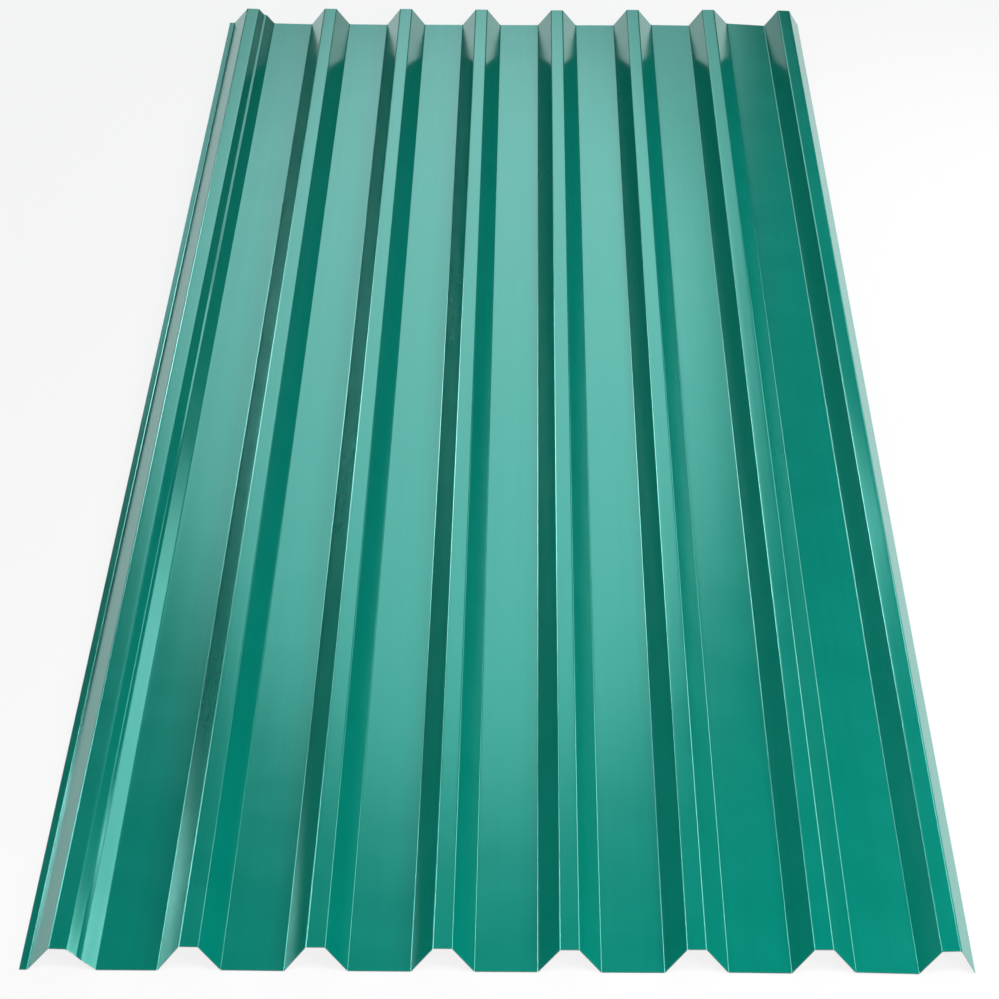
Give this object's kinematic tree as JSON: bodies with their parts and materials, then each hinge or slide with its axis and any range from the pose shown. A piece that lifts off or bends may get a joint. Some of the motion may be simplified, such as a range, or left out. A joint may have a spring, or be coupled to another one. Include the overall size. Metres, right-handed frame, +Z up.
{
  "type": "ribbed metal roofing sheet",
  "caption": "Painted steel roofing sheet rolled to flat pans between trapezoid ribs, with a covering rib on one side edge and a covered rib on the other for side laps.",
  "frame": {"origin": "on the plane of the pans' undersides, under the middle of the sheet", "axes": "+X across the sheet from the covering edge to the covered edge, +Y along its length, +Z up"},
  "size_m": [0.8138, 2.44, 0.0245],
  "materials": {
    "green_paint": "satin"
  },
  "bodies": {
    "root": {"ribbed_sheet": "green_paint"}
  },
  "joints": []
}
